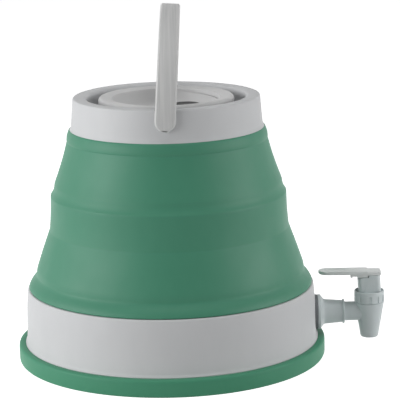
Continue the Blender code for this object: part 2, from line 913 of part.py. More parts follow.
def make_seat_cup(parts):
    socket = stem_radius + gap
    bottom = cup_bottom()
    outline = [(0, cup_top() - cup_socket_depth), (socket, cup_top() - cup_socket_depth)]
    outline += [(socket, cup_top()), (cup_radius - cup_dome, cup_top())]
    outline += [(cup_radius, cup_top() - cup_dome), (cup_radius, bottom), (0, bottom)]
    cup = turned("tap_seat_cup", outline, parts, gasket_rubber(), tap_steps)
    cup.location.x = tap_axis
    return cup


def make_stem(parts):
    bottom = cup_top() - cup_socket_depth + gap
    top = plate_bottom - stem_below_plate
    flange_bottom = cup_top() + stem_flange_above_cup
    flange_top = flange_bottom + stem_flange_thickness
    outline = [(0, top), (stem_radius, top), (stem_radius, flange_top)]
    outline += [(stem_flange_radius, flange_top), (stem_flange_radius, flange_bottom)]
    outline += [(stem_radius, flange_bottom), (stem_radius, bottom), (0, bottom)]
    stem = turned("tap_stem", outline, parts, tap_plastic(), tap_steps)
    stem.location.x = tap_axis
    return stem


def make_spring(parts):
    # A coil round the stem, between its flange and the neck's ceiling
    clear = spring_wire_radius + gap
    bottom = cup_top() + stem_flange_above_cup + stem_flange_thickness + clear
    top = neck_top_plane - neck_ceiling - clear
    curve = bpy.data.curves.new("tap_spring", "CURVE")
    curve.dimensions = "3D"
    curve.bevel_depth = spring_wire_radius
    curve.bevel_resolution = 1
    curve.use_fill_caps = True
    count = spring_turns * spring_points_per_turn + 1
    spline = curve.splines.new("POLY")
    spline.points.add(count - 1)
    for i, point in enumerate(spline.points):
        share = i / (count - 1)
        turn = math.tau * spring_turns * share
        x = spring_radius * math.cos(turn)
        y = spring_radius * math.sin(turn)
        point.co = (x, y, bottom + (top - bottom) * share, 1)
    curve.materials.append(spring_steel())
    spring = bpy.data.objects.new("tap_spring", curve)
    parts.objects.link(spring)
    spring.location.x = tap_axis
    return spring


def lever_blade(name, tip, back, width, thickness, tools):
    # A flat bar with a round tip, its top face at the lever's top
    half = width / 2
    curve = bpy.data.curves.new(name, "CURVE")
    curve.dimensions = "2D"
    curve.fill_mode = "BOTH"
    curve.extrude = thickness / 2
    angles = [math.radians(90 + 180 * i / lever_tip_steps) for i in range(lever_tip_steps + 1)]
    points = [(tip + half + half * math.cos(a), half * math.sin(a)) for a in angles]
    points += [(back, -half), (back, half)]
    spline = curve.splines.new("POLY")
    spline.points.add(len(points) - 1)
    for point, (x, y) in zip(spline.points, points):
        point.co = (x, y, 0, 1)
    spline.use_cyclic_u = True
    flat = bpy.data.objects.new(name + "_outline", curve)
    tools.objects.link(flat)
    graph = bpy.context.evaluated_depsgraph_get()
    mesh = bpy.data.meshes.new_from_object(flat.evaluated_get(graph))
    bpy.data.objects.remove(flat)
    work = bmesh.new()
    work.from_mesh(mesh)
    bmesh.ops.remove_doubles(work, verts=work.verts, dist=merge_distance)
    bmesh.ops.recalc_face_normals(work, faces=work.faces)
    work.to_mesh(mesh)
    work.free()
    return mesh


def make_lever(parts, tools):
    # The lever's mesh has its pivot axis through its own origin
    top = lever_top_above_pivot
    mesh = lever_blade(
        "tap_lever", -lever_tip_from_pivot, cheek_back, lever_width, lever_thickness, tools
    )
    lever = add_mesh_object("tap_lever", mesh, parts, tap_plastic())
    lever.location = (pivot_x, 0, pivot_z)
    blade_middle = top - lever_thickness / 2
    for vertex in mesh.vertices:
        vertex.co.z += blade_middle
    round_edges(lever, lever_edge_round)
    outer = cheek_width / 2
    inner = outer - cheek_thickness
    shapes = []
    for side, name in ((-1, "front"), (1, "rear")):
        low, high = sorted((side * inner, side * outer))
        cheek = block(
            f"lever_cheek_{name}",
            (-cheek_front, low, -cheek_below_pivot),
            (cheek_back, high, blade_middle),
            tools,
        )
        shapes.append((cheek, "UNION"))
    plate = block(
        "lever_back_plate",
        (cheek_back - overrun, -plate_width / 2, plate_bottom - pivot_z),
        (plate_back, plate_width / 2, top - plate_drop),
        tools,
    )
    shapes.append((plate, "UNION"))
    pocket_half = ear_half_length + ear_pocket_clearance
    pocket = block(
        "lever_pocket_cut",
        (-pocket_half, -inner, -overrun),
        (pocket_half, inner, ear_top_round + ear_pocket_top),
        tools,
    )
    shapes.append((pocket, "DIFFERENCE"))
    reach = outer + overrun
    pin_hole = rod("cheek_pin_cut", lever_pin_radius + running_gap, -reach, reach, "Y", tools)
    shapes.append((pin_hole, "DIFFERENCE"))
    for helper, operation in shapes:
        helper.parent = lever
        combine(lever, helper, operation)
    return lever


def make_lever_pin(parts):
    half = cheek_width / 2 - lever_pin_inset
    steel = spring_steel()
    pin = rod("tap_lever_pin", lever_pin_radius, -half, half, "Y", parts, steel, lever_pin_steps)
    pin.location.x = pivot_x
    pin.location.z = pivot_z
    return pin


def main():
    clear_scene()
    parts = new_collection("collapsible_water_carrier")
    tools = new_collection("shaping_tools")
    make_foot(parts)
    make_base_shell(parts, tools)
    make_lower_shoulder(parts)
    make_lower_fold(parts)
    make_middle_band(parts)
    make_upper_fold(parts)
    make_upper_band(parts)
    make_collar(parts, tools)
    make_neck_ring(parts)
    make_lid_cap(parts, tools)
    make_lid_gasket(parts)
    make_vent_plug(parts)
    make_handle(parts, tools)
    make_clips(parts)
    make_tap_gaskets(parts)
    make_back_nut(parts, tools)
    make_tap_body(parts, tools)
    make_bonnet_nut(parts, tools)
    make_tap_neck(parts, tools)
    make_seat_cup(parts)
    make_stem(parts)
    make_spring(parts)
    make_lever(parts, tools)
    make_lever_pin(parts)


main()
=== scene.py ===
import json
import math

import bpy
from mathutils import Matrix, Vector


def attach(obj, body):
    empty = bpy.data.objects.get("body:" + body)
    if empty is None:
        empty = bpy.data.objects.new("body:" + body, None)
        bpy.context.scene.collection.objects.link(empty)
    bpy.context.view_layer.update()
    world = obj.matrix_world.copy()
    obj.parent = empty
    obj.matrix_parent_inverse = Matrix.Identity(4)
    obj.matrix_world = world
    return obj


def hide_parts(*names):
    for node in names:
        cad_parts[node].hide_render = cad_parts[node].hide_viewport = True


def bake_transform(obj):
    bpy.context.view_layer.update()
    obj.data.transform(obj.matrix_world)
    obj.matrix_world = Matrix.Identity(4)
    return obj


# A collapsible silicone water carrier, dressed for a still on white.
# Sizes are in millimetres. It stands on the floor at the origin, and its tap points to +X.

mm = 0.001
roundSteps = 144  # sides of the large turned pieces
smallSteps = 72  # sides of the small ones, and of rods
cornerSteps = 5  # pieces of a rounded corner
smoothAngle = 32  # degrees up to which faces shade as one
mergeDistance = 0.005 * mm
topFacing = 0.9  # height of a face's normal from which the face counts as a top
sideFacing = 0.2  # and up to which it counts as a side
uprightRise = 1  # an edge that rises by more than this is an upright one
pickMargin = 0.05  # room round the places that edges are picked by
bailLean = 3.6  # degrees from upright, towards the tap

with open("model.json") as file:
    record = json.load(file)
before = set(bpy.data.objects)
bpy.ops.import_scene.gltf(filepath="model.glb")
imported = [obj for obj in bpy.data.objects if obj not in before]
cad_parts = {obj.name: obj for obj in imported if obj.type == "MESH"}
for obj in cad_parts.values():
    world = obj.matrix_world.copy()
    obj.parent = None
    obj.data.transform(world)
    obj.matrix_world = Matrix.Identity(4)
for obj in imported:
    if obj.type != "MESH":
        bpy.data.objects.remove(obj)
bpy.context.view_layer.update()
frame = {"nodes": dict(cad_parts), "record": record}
nodes = frame["nodes"]
bpy.ops.object.select_all(action="DESELECT")
print("frame loaded:", len(nodes), "nodes")


def hexColour(code):
    # From sRGB to linear
    channels = [int(code[i:i + 2], 16) / 255 for i in (1, 3, 5)]
    linear = [c / 12.92 if c <= 0.04045 else ((c + 0.055) / 1.055) ** 2.4 for c in channels]
    return (*linear, 1)


def addNode(tree, kind, settings, links=None):
    # A setting is a socket's value or an option of the node, and a link goes to a socket
    node = tree.nodes.new(kind)
    for name, value in settings.items():
        if name in node.inputs:
            node.inputs[name].default_value = value
        else:
            setattr(node, name, value)
    for name, source in (links or {}).items():
        tree.links.new(source, node.inputs[name])
    return node


patternSettings = {
    "driftDetail": 2,
    "streakDetail": 4,
    "streakRange": (0.35, 0.75),  # noise at which a streak starts and at which it shows in full
    "smudgeDetail": 3,
    "smudgeRange": (0.3, 0.7),
    "grainDetail": 2,
}


def mouldedMaterial(name, look):
    # Slow colour drift, streaks from the flow or the drawing, patchy gloss and a fine grain
    s = patternSettings
    material = bpy.data.materials.new(name)
    material.use_nodes = True
    tree = material.node_tree
    shader = tree.nodes["Principled BSDF"]
    for socket in ("IOR", "Specular IOR Level", "Metallic"):
        if socket in look:
            shader.inputs[socket].default_value = look[socket]
    place = addNode(tree, "ShaderNodeTexCoord", {}).outputs["Object"]
    lean = addNode(
        tree,
        "ShaderNodeMapping",
        {"Rotation": (0, math.radians(look["lean"]), 0), "Scale": look["stretch"]},
        {"Vector": place},
    )
    drift = addNode(
        tree,
        "ShaderNodeTexNoise",
        {"Scale": 1 / (look["driftSize"] * mm), "Detail": s["driftDetail"]},
        {"Vector": place},
    )
    streak = addNode(
        tree,
        "ShaderNodeTexNoise",
        {"Scale": 1 / (look["streakSize"] * mm), "Detail": s["streakDetail"]},
        {"Vector": lean.outputs["Vector"]},
    )
    low, high = s["streakRange"]
    amount = addNode(
        tree,
        "ShaderNodeMapRange",
        {"From Min": low, "From Max": high, "To Min": 0, "To Max": look["streakShare"]},
        {"Value": streak.outputs["Fac"]},
    )
    drifted = addNode(
        tree,
        "ShaderNodeMixRGB",
        {"Color1": hexColour(look["colour"]), "Color2": hexColour(look["drift"])},
        {"Fac": drift.outputs["Fac"]},
    )
    streaked = addNode(
        tree,
        "ShaderNodeMixRGB",
        {"Color2": hexColour(look["streak"])},
        {"Fac": amount.outputs["Result"], "Color1": drifted.outputs["Color"]},
    )
    smudge = addNode(
        tree,
        "ShaderNodeTexNoise",
        {"Scale": 1 / (look["smudgeSize"] * mm), "Detail": s["smudgeDetail"]},
        {"Vector": place},
    )
    low, high = s["smudgeRange"]
    smooth, rough = look["roughness"]
    gloss = addNode(
        tree,
        "ShaderNodeMapRange",
        {"From Min": low, "From Max": high, "To Min": smooth, "To Max": rough},
        {"Value": smudge.outputs["Fac"]},
    )
    grain = addNode(
        tree,
        "ShaderNodeTexNoise",
        {"Scale": 1 / (look["grainSize"] * mm), "Detail": s["grainDetail"]},
        {"Vector": place},
    )
    bump = addNode(
        tree,
        "ShaderNodeBump",
        {"Strength": look["grainStrength"], "Distance": look["grainDepth"] * mm},
        {"Height": grain.outputs["Fac"]},
    )
    tree.links.new(streaked.outputs["Color"], shader.inputs["Base Color"])
    tree.links.new(gloss.outputs["Result"], shader.inputs["Roughness"])
    tree.links.new(bump.outputs["Normal"], shader.inputs["Normal"])
    return material


# Sizes in the looks are in millimetres. The real grain is about 0.1 mm or finer, and is drawn coarser so
# that it shows. A small stretch along X, Y or Z draws the streaks long that way, and lean turns them
# about Y, in degrees.

# Silicone rubber, compression moulded: matt, with soft wide highlights
siliconeLook = {
    "colour": "#44866c",
    "drift": "#428268",
    "driftSize": 55,
    "streak": "#529177",
    "streakSize": 9,
    "streakShare": 0.12,
    "stretch": (1, 1, 0.6),
    "lean": 0,
    "IOR": 1.41,
    "Specular IOR Level": 0.45,
    "roughness": (0.44, 0.52),
    "smudgeSize": 26,
    "grainSize": 0.9,
    "grainDepth": 0.05,
    "grainStrength": 0.25,
}

# Thermoplastic rubber, injection moulded: as the silicone, a shade brighter and less glossy
softFootLook = {
    "colour": "#468d6e",
    "drift": "#43896b",
    "driftSize": 45,
    "streak": "#519779",
    "streakSize": 7,
    "streakShare": 0.12,
    "stretch": (1, 1, 0.6),
    "lean": 0,
    "IOR": 1.45,
    "Specular IOR Level": 0.3,
    "roughness": (0.5, 0.58),
    "smudgeSize": 22,
    "grainSize": 0.8,
    "grainDepth": 0.04,
    "grainStrength": 0.25,
}

# Polypropylene, injection moulded in a fine eroded mould: satin, pale grey, with faint flow marks
satinPolypropyleneLook = {
    "colour": "#d0d1d2",
    "drift": "#cccdcf",
    "driftSize": 70,
    "streak": "#c4c6c8",
    "streakSize": 12,
    "streakShare": 0.2,
    "stretch": (1, 1, 0.35),
    "lean": 0,
    "IOR": 1.49,
    "Specular IOR Level": 0.35,
    "roughness": (0.5, 0.6),
    "smudgeSize": 30,
    "grainSize": 0.7,
    "grainDepth": 0.03,
    "grainStrength": 0.2,
}

# The same polypropylene on the lid and its neck, a shade paler and warmer
lidPolypropyleneLook = dict(satinPolypropyleneLook, colour="#d5d5d5", drift="#d1d1d1", streak="#c6c7c8")

# Polypropylene strip, moulded along its length: satin with fine drawn lines
bailPolypropyleneLook = dict(
    satinPolypropyleneLook,
    colour="#d4d4d4",
    drift="#cfcfce",
    streak="#afb1b1",
    streakSize=1.6,
    streakShare=0.5,
    stretch=(1, 0.03, 0.03),
    lean=-bailLean,
)

# Acetal, injection moulded: cool grey, waxy gloss
acetalLook = {
    "colour": "#dbe3e4",
    "drift": "#d5dedf",
    "driftSize": 25,
    "streak": "#cbd5d7",
    "streakSize": 5,
    "streakShare": 0.25,
    "stretch": (1, 1, 0.4),
    "lean": 0,
    "IOR": 1.48,
    "roughness": (0.3, 0.4),
    "smudgeSize": 12,
    "grainSize": 0.5,
    "grainDepth": 0.02,
    "grainStrength": 0.2,
}

# The lever is drawn in a paler acetal than the body: painted light, which stands in for its lit top
# against the shaded stalk under it
leverPaintedLightLook = dict(acetalLook, colour="#ecefee", drift="#e7eae9", streak="#dde1e0")

# Nitrile rubber, moulded: grey and matt, with pale bloom
gasketRubberLook = {
    "colour": "#7d8184",
    "drift": "#757a7d",
    "driftSize": 12,
    "streak": "#8e9294",
    "streakSize": 3,
    "streakShare": 0.3,
    "stretch": (1, 1, 1),
    "lean": 0,
    "IOR": 1.52,
    "roughness": (0.6, 0.75),
    "smudgeSize": 8,
    "grainSize": 0.5,
    "grainDepth": 0.04,
    "grainStrength": 0.3,
}

# The plug is moulded of the same rubber, drawn almost black: darker than the rubber itself, with painted
# shade from the deep dish it sits in
plugPaintedShadeLook = dict(gasketRubberLook, colour="#2b2b2b", drift="#262626", streak="#3a3a3a")

# Stainless spring wire, drawn: bright, with fine dark marks
springWireLook = {
    "colour": "#c4c5c6",
    "drift": "#bcbdbe",
    "driftSize": 6,
    "streak": "#a8a9aa",
    "streakSize": 0.8,
    "streakShare": 0.4,
    "stretch": (1, 1, 1),
    "lean": 0,
    "Metallic": 1,
    "roughness": (0.22, 0.35),
    "smudgeSize": 4,
    "grainSize": 0.3,
    "grainDepth": 0.01,
    "grainStrength": 0.2,
}

mattSilicone = mouldedMaterial("mattSilicone", siliconeLook)
softFootRubber = mouldedMaterial("softFootRubber", softFootLook)
satinPolypropylene = mouldedMaterial("satinPolypropylene", satinPolypropyleneLook)
lidPolypropylene = mouldedMaterial("lidPolypropylene", lidPolypropyleneLook)
bailPolypropylene = mouldedMaterial("bailPolypropylene", bailPolypropyleneLook)
waxyAcetal = mouldedMaterial("waxyAcetal", acetalLook)
leverPaintedLightAcetal = mouldedMaterial("leverPaintedLightAcetal", leverPaintedLightLook)
gasketRubber = mouldedMaterial("gasketRubber", gasketRubberLook)
shadeDarkenedPlugRubber = mouldedMaterial("shadeDarkenedPlugRubber", plugPaintedShadeLook)
drawnSpringWire = mouldedMaterial("drawnSpringWire", springWireLook)

finishOfSlot = {
    "silicone_green": mattSilicone,
    "foot_green": softFootRubber,
    "pale_plastic": satinPolypropylene,
    "lid_plastic": lidPolypropylene,
    "bail_plastic": bailPolypropylene,
    "tap_plastic": waxyAcetal,
    "gasket_rubber": gasketRubber,
    "dark_rubber": shadeDarkenedPlugRubber,
    "spring_steel": drawnSpringWire,
}
for part in frame["record"]["subparts"]:
    # Each solid takes the finish of its slot, because some stay visible
    carried = nodes[part["node"]]
    carried.data.materials.clear()
    carried.data.materials.append(finishOfSlot[part["material_slot"]])
print("materials made:", len(finishOfSlot))


def roundedOutline(corners):
    # A corner is (radius, height) or (radius, height, rounding)
    points = []
    for i, corner in enumerate(corners):
        here = Vector(corner[:2])
        if len(corner) < 3:
            points.append(here)
            continue
        before = Vector(corners[i - 1][:2])
        after = Vector(corners[(i + 1) % len(corners)][:2])
        start = here + (before - here).normalized() * corner[2]
        end = here + (after - here).normalized() * corner[2]
        for step in range(cornerSteps + 1):
            t = step / cornerSteps
            points.append(start * (1 - t) ** 2 + here * 2 * t * (1 - t) + end * t**2)
    return points


def smoothOutline(places, spacing):
    # A Catmull-Rom curve through the places, with a point about every spacing
    points = []
    ends = [Vector(place) for place in places]
    ends = [2 * ends[0] - ends[1]] + ends + [2 * ends[-1] - ends[-2]]
    for a, b, c, d in zip(ends, ends[1:], ends[2:], ends[3:]):
        count = max(1, round((c - b).length / spacing))
        for step in range(count):
            t = step / count
            bend = 2 * a - 5 * b + 4 * c - d
            twist = 3 * b - a - 3 * c + d
            points.append((2 * b + (c - a) * t + bend * t**2 + twist * t**3) / 2)
    return points + [ends[-2]]


def drawLine(name, places):
    # One point is extruded from place to place
    bpy.ops.object.select_all(action="DESELECT")
    bpy.ops.mesh.primitive_plane_add(size=mm)
    piece = bpy.context.object
    piece.name = piece.data.name = name
    bpy.ops.object.mode_set(mode="EDIT")
    bpy.ops.mesh.select_mode(type="VERT")
    bpy.ops.mesh.merge(type="CENTER")
    bpy.ops.transform.translate(value=Vector(places[0]) * mm)
    for here, there in zip(places, places[1:]):
        step = (Vector(there) - Vector(here)) * mm
        bpy.ops.mesh.extrude_vertices_move(TRANSFORM_OT_translate={"value": step})
    bpy.ops.mesh.select_all(action="SELECT")
    return piece


def closeMesh():
    # Merges doubles, points all faces outwards and leaves edit mode
    bpy.ops.mesh.select_all(action="SELECT")
    bpy.ops.mesh.remove_doubles(threshold=mergeDistance)
    bpy.ops.mesh.normals_make_consistent(inside=False)
    bpy.ops.object.mode_set(mode="OBJECT")


def turnedPiece(name, outline, steps=roundSteps):
    # The outline, (radius, height) pairs, is spun about Z. A ring's outline is closed first.
    places = [(radius, 0, height) for radius, height in outline]
    if places[0][0] > 0:
        places.append(places[0])
    piece = drawLine(name, places)
    bpy.ops.mesh.remove_doubles(threshold=mergeDistance)
    bpy.ops.mesh.select_all(action="SELECT")
    bpy.ops.mesh.spin(steps=steps, angle=math.tau, center=(0, 0, 0), axis=(0, 0, 1))
    closeMesh()
    return piece


def onlySelect(piece):
    bpy.ops.object.select_all(action="DESELECT")
    piece.select_set(True)
    bpy.context.view_layer.objects.active = piece


def placePiece(piece, place=(0, 0, 0), turn=(0, 0, 0)):
    # Moves and turns a piece, in millimetres and degrees, and leaves its place in its mesh
    onlySelect(piece)
    piece.location = Vector(place) * mm
    piece.rotation_euler = [math.radians(angle) for angle in turn]
    bpy.ops.object.transform_apply(location=True, rotation=True, scale=True)


def lieAlongX(piece, height):
    # Heights in the piece's outline become places along X
    placePiece(piece, place=(0, 0, height), turn=(0, 90, 0))


def turnedCopy(piece, angle):
    # A copy with its own mesh, turned about Z
    onlySelect(piece)
    bpy.ops.object.duplicate(linked=False)
    placePiece(bpy.context.object, turn=(0, 0, angle))
    return bpy.context.object


def mirroredCopy(piece):
    # A copy with its own mesh, on the other side of the XZ plane
    onlySelect(piece)
    bpy.ops.object.duplicate(linked=False)
    copy = bpy.context.object
    copy.scale.y = -1
    placePiece(copy)
    bpy.ops.object.mode_set(mode="EDIT")
    closeMesh()
    return copy


def applyModifier(piece, kind, **settings):
    onlySelect(piece)
    modifier = piece.modifiers.new(kind.title(), kind)
    for name, value in settings.items():
        setattr(modifier, name, value)
    bpy.ops.object.modifier_apply(modifier=modifier.name)


def combine(piece, other, operation):
    # The other piece is used up
    applyModifier(piece, "BOOLEAN", operation=operation, object=other, solver="EXACT")
    bpy.data.objects.remove(other)


def roundEdges(piece, width, segments=2, above=40, clamp=True):
    # Rounds the edges that turn by more than so many degrees
    applyModifier(
        piece,
        "BEVEL",
        use_clamp_overlap=clamp,
        width=width * mm,
        segments=segments,
        limit_method="ANGLE",
        angle_limit=math.radians(above),
    )


def rod(name, radius, start, end, along, at, steps=smallSteps):
    # A cylinder from start to end along an axis, at the two other coordinates
    bpy.ops.object.select_all(action="DESELECT")
    length = (end - start) * mm
    bpy.ops.mesh.primitive_cylinder_add(vertices=steps, radius=radius * mm, depth=length)
    piece = bpy.context.object
    piece.name = piece.data.name = name
    middle = (start + end) / 2
    turn = {"X": (0, 90, 0), "Y": (90, 0, 0), "Z": (0, 0, 0)}[along]
    place = {"X": (middle, *at), "Y": (at[0], middle, at[1]), "Z": (*at, middle)}[along]
    placePiece(piece, place, turn)
    return piece


def bar(name, low, high):
    # A box between two corners
    bpy.ops.object.select_all(action="DESELECT")
    bpy.ops.mesh.primitive_cube_add(size=mm)
    piece = bpy.context.object
    piece.name = piece.data.name = name
    piece.scale = [b - a for a, b in zip(low, high)]
    placePiece(piece, [(a + b) / 2 for a, b in zip(low, high)])
    return piece


def pickFaces(piece, wanted):
    # Goes to edit mode with the faces selected that the test accepts, by their centre and normal
    onlySelect(piece)
    bpy.ops.object.mode_set(mode="EDIT")
    bpy.ops.mesh.select_mode(type="FACE")
    bpy.ops.mesh.select_all(action="DESELECT")
    bpy.ops.object.mode_set(mode="OBJECT")
    for face in piece.data.polygons:
        face.select = wanted(face.center / mm, face.normal)
    bpy.ops.object.mode_set(mode="EDIT")


def pickEdges(piece, wanted):
    # The same for edges, by their two ends
    onlySelect(piece)
    bpy.ops.object.mode_set(mode="EDIT")
    bpy.ops.mesh.select_mode(type="EDGE")
    bpy.ops.mesh.select_all(action="DESELECT")
    bpy.ops.object.mode_set(mode="OBJECT")
    points = piece.data.vertices
    for edge in piece.data.edges:
        first, second = edge.vertices
        edge.select = wanted(points[first].co / mm, points[second].co / mm)
    bpy.ops.object.mode_set(mode="EDIT")


def pickUprightEdges(piece, wanted):
    # The upright edges whose first end the test accepts
    pickEdges(piece, lambda a, b: abs(a.z - b.z) > uprightRise and wanted(a))


def bevelPicked(width, segments):
    bpy.ops.mesh.bevel(offset=width * mm, segments=segments, affect="EDGES")
    bpy.ops.object.mode_set(mode="OBJECT")


def finishPiece(piece, material, slot, *replaced):
    onlySelect(piece)
    piece.data.materials.clear()
    piece.data.materials.append(material)
    bpy.ops.object.shade_smooth_by_angle(angle=math.radians(smoothAngle))
    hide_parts(*replaced)
    print("made", piece.name, len(piece.data.polygons), "faces")


footSettings = {
    "corners": [
        (0, 2.7),
        (126.3, 2.7),
        (126.3, 15.0, 0.4),
        (132.0, 15.0, 2.8),
        (131.9, 0.0, 2.4),
        (118.0, 0.0, 0.5),
        (117.0, 0.8, 0.5),
        (0, 0.8),
    ],
}


def makeFoot():
    foot = turnedPiece("softFoot", roundedOutline(footSettings["corners"]))
    finishPiece(foot, softFootRubber, "foot_green", "foot")
    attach(foot, "base")


makeFoot()

bandSettings = {
    "corners": [
        (0, 5.5),
        (122.1, 5.5, 3.0),
        (122.1, 20.0, 2.0),
        (119.5, 62.5, 0.5),
        (122.6, 62.5, 1.5),
        (123.45, 54.0),
        (124.05, 46.0),
        (124.4, 32.0),
        (124.7, 19.0),
        (125.1, 17.0, 1.0),
        (126.2, 15.4, 0.2),
        (126.05, 14.4),
        (126.0, 3.0, 0.6),
        (0, 3.0),
    ],
    "tapHeight": 33.5,
    "seat": 122.64,  # the flat that the tap's gasket lies on
    "seatRadius": 16.5,
    "padRadius": 18.0,
    "padInner": 119.44,
    "padBelowSeat": 0.1,
    "holeRadius": 9.7,
    "flatCutLength": 8,
    "holeCutReach": 5,  # past the pad on both sides
}


def makeBand():
    s = bandSettings
    band = turnedPiece("baseBand", roundedOutline(s["corners"]))
    at = (0, s["tapHeight"])
    inner, seat, reach = s["padInner"], s["seat"], s["holeCutReach"]
    combine(band, rod("pad", s["padRadius"], inner, seat - s["padBelowSeat"], "X", at), "UNION")
    combine(band, rod("flat", s["seatRadius"], seat, seat + s["flatCutLength"], "X", at), "DIFFERENCE")
    combine(band, rod("hole", s["holeRadius"], inner - reach, seat + reach, "X", at), "DIFFERENCE")
    finishPiece(band, satinPolypropylene, "pale_plastic", "base_shell")
    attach(band, "base")


makeBand()

siliconeSettings = {
    "spacing": 1.6,  # between the rings of the mesh, so that the folds curve smoothly
    "innerSpacing": 3.2,  # the same on the inside
    "skirt": [(117.0, 63.1), (117.0, 54.0), (119.2, 54.0), (119.2, 62.7)],
    "shoulder": [
        (121.0, 62.8),
        (121.5, 63.6),
        (121.3, 64.7),
        (120.4, 66.5),
        (118.9, 68.7),
        (117.2, 70.7),
        (115.9, 72.3),
        (115.1, 73.5),
    ],
    "crease": [(115.1, 73.5), (114.8, 74.3), (114.7, 75.3)],
    "lowerFold": [
        (114.7, 75.3),
        (114.6, 77.0),
        (114.2, 79.0),
        (113.4, 81.7),
        (108.6, 95.58),
        (103.1, 110.83),
        (102.6, 112.23),
    ],
    "middleBand": [
        (102.35, 112.82),
        (102.2, 113.52),
        (101.8, 117.52),
        (101.2, 124.51),
        (100.85, 130.51),
        (100.5, 140.5),
        (100.45, 142.3),
    ],
    "middleShoulder": [
        (100.3, 142.9),
        (99.8, 143.59),
        (98.6, 145.48),
        (97.75, 147.47),
        (97.25, 149.47),
        (97.05, 151.06),
    ],
    "upperFold": [
        (97.05, 151.06),
        (96.9, 152.06),
        (96.1, 154.65),
        (93.2, 162.43),
        (88.9, 175.38),
        (85.2, 188.85),
    ],
    "topBand": [
        (85.3, 189.1),
        (85.4, 190.2),
        (85.25, 191.5),
        (85.1, 193.34),
        (84.3, 195.83),
        (83.4, 198.12),
        (82.9, 198.52),
        (82.75, 198.76),
    ],
    "lowerWall": [
        (94.4, 150.85),
        (97.6, 141.0),
        (98.4, 116.0),
        (100.2, 112.6),
        (112.8, 76.0),
        (116.6, 66.0),
    ],
    "upperWall": [(81.5, 198.4), (81.5, 188.6), (83.8, 187.6), (94.4, 153.0)],
    "lowerFoldEnds": (76.0, 113.3),
    "upperFoldEnds": (151.0, 188.3),
}


def smoothParts(*parts):
    s = siliconeSettings
    return [point for part in parts for point in smoothOutline(s[part], s["spacing"])]


def makeSilicone():
    # Each wall's outline goes up its outside and down its inside
    s = siliconeSettings
    lower = [Vector(place) for place in s["skirt"]]
    lower += smoothParts("shoulder", "crease", "lowerFold", "middleBand", "middleShoulder")
    lower += smoothOutline(s["lowerWall"], s["innerSpacing"])
    wall = turnedPiece("lowerSiliconeWall", lower)
    finishPiece(
        wall,
        mattSilicone,
        "silicone_green",
        "wall_lower_shoulder",
        "wall_lower_fold",
        "wall_middle_band",
    )
    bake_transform(wall)
    upper = smoothParts("upperFold", "topBand")
    upper += [Vector(place) for place in s["upperWall"]]
    wall = turnedPiece("upperSiliconeWall", upper)
    finishPiece(wall, mattSilicone, "silicone_green", "wall_upper_fold", "wall_upper_band")
    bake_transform(wall)


makeSilicone()

collarSettings = {
    "corners": [
        (81.2, 188.9),
        (81.2, 198.5),
        (82.55, 198.6, 0.1),
        (81.35, 201.3, 1.2),
        (80.95, 204.6, 1.5),
        (79.25, 225.5, 1.6),
        (67.3, 225.5, 3.5),
        (67.1, 212.3, 1.5),
        (53.9, 212.3),
        (53.9, 209.8),
        (69.6, 209.8, 1.0),
        (69.6, 223.0, 1.0),
        (76.7, 223.0, 1.0),
        (78.7, 200.0),
        (78.7, 188.9),
    ],
    "pivotHeight": 216.8,
    "bossRadius": 5.3,
    "bossInner": 78.0,
    "bossFace": 81.1,
    "holeRadius": 4.3,
    "holeCutReach": (4, 2),  # past the boss, inwards and outwards
}


def makeCollar():
    s = collarSettings
    collar = turnedPiece("collarRing", roundedOutline(s["corners"]))
    at = (0, s["pivotHeight"])
    boss = rod("boss", s["bossRadius"], s["bossInner"], s["bossFace"], "Y", at)
    inwards, outwards = s["holeCutReach"]
    hole = rod("hole", s["holeRadius"], s["bossInner"] - inwards, s["bossFace"] + outwards, "Y", at)
    for helper, operation in ((boss, "UNION"), (hole, "DIFFERENCE")):
        combine(collar, mirroredCopy(helper), operation)
        combine(collar, helper, operation)
    finishPiece(collar, satinPolypropylene, "pale_plastic", "collar")
    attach(collar, "top")


makeCollar()

neckSettings = {
    "corners": [
        (50.8, 222.3, 0.4),
        (53.6, 222.3, 0.4),
        (53.6, 209.5),
        (65.9, 209.5, 0.4),
        (65.9, 207.3, 0.4),
        (50.8, 207.3),
    ],
    "ridge": [(53.4, -0.9), (54.05, -0.35), (54.05, 0.35), (53.4, 0.9)],  # section of the thread
    "starts": 3,
    "lead": 12,  # the lid rises this much in one turn
    "ridgeTurn": 190,  # degrees
    "ridgeStart": 214.2,
}


def makeNeck():
    s = neckSettings
    neck = turnedPiece("neckRing", roundedOutline(s["corners"]))
    places = [(radius, 0, s["ridgeStart"] + height) for radius, height in s["ridge"]]
    ridge = drawLine("ridge", places + places[:1])
    bpy.ops.mesh.remove_doubles(threshold=mergeDistance)
    bpy.ops.object.mode_set(mode="OBJECT")
    applyModifier(
        ridge,
        "SCREW",
        angle=math.radians(s["ridgeTurn"]),
        screw_offset=s["lead"] * s["ridgeTurn"] / 360 * mm,
        steps=smallSteps,
        render_steps=smallSteps,
        use_merge_vertices=False,
    )
    bpy.ops.object.mode_set(mode="EDIT")
    bpy.ops.mesh.select_all(action="SELECT")
    bpy.ops.mesh.fill_holes(sides=0)
    closeMesh()
    ridges = [ridge] + [turnedCopy(ridge, 360 * i / s["starts"]) for i in range(1, s["starts"])]
    for ridge in ridges:
        combine(neck, ridge, "UNION")
    finishPiece(neck, lidPolypropylene, "lid_plastic", "neck_ring")
    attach(neck, "top")


makeNeck()

